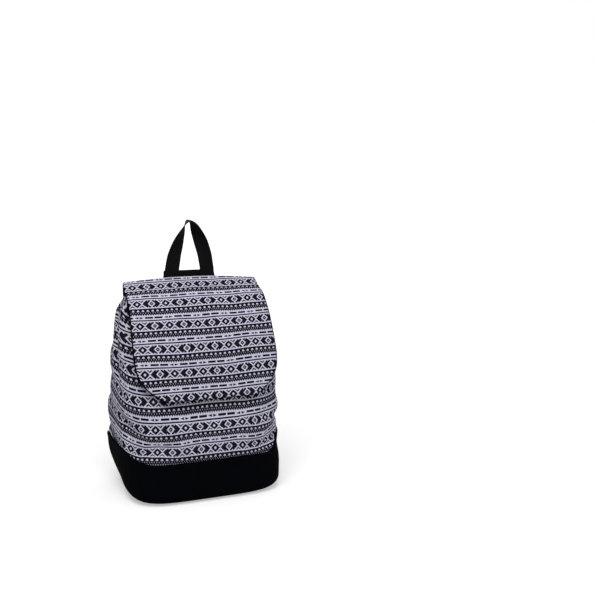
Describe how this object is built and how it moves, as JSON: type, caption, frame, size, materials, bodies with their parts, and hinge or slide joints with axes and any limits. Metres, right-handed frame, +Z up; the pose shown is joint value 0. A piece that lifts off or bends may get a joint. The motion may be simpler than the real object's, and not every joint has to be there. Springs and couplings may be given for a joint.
{
  "type": "flap backpack",
  "caption": "Small soft backpack of woven patterned cloth with a dark base, a snap flap, a webbing carry handle and shoulder straps.",
  "frame": {"origin": "middle of the flat base, midway between the front and the back at the foot", "axes": "+Z up, +Y towards the wearer's back, where the shoulder straps are, -Y towards the front with the flap"},
  "size_m": [0.2764, 0.1826, 0.4419],
  "materials": {
    "patterned_cloth": "woven cotton, matt, black and off-white bands",
    "black_canvas": "matt cotton canvas",
    "black_webbing": "woven webbing with a slight sheen",
    "black_plastic": "moulded, matt",
    "nickel": "bright nickel plate"
  },
  "bodies": {
    "bag": {"front_and_sides": "patterned_cloth", "back_panel": "patterned_cloth", "flap": "patterned_cloth", "base_panel": "black_canvas", "mouth_binding": "black_canvas", "flap_lining": "black_canvas", "carry_handle": "black_webbing", "anchor_band": "black_webbing", "shoulder_strap_left": "black_webbing", "strap_tab_left": "black_webbing", "shoulder_strap_right": "black_webbing", "strap_tab_right": "black_webbing", "snap_socket": "nickel", "snap_stud": "nickel", "snap_washer": "nickel"},
    "slider_left": {"strap_slider_left": "black_plastic", "strap_end_loop_left": "black_webbing"},
    "ring_left": {"strap_ring_left": "nickel"},
    "slider_right": {"strap_slider_right": "black_plastic", "strap_end_loop_right": "black_webbing"},
    "ring_right": {"strap_ring_right": "nickel"}
  },
  "joints": [
    {"name": "slider_slide_left", "type": "slide", "parent": "bag", "child": "slider_left", "axis": [0.2393, -0.1474, 0.9597], "range_m": [0, 0.085]},
    {"name": "ring_swing_left", "type": "hinge", "parent": "bag", "child": "ring_left", "pos_m": [-0.097, 0.09525, 0.08428], "axis": [0.9703, 0, -0.2419], "range_deg": [-5, 5]},
    {"name": "slider_slide_right", "type": "slide", "parent": "bag", "child": "slider_right", "axis": [-0.2393, -0.1474, 0.9597], "range_m": [0, 0.085]},
    {"name": "ring_swing_right", "type": "hinge", "parent": "bag", "child": "ring_right", "pos_m": [0.097, 0.09525, 0.08428], "axis": [0.9703, 0, 0.2419], "range_deg": [-5, 5]}
  ]
}
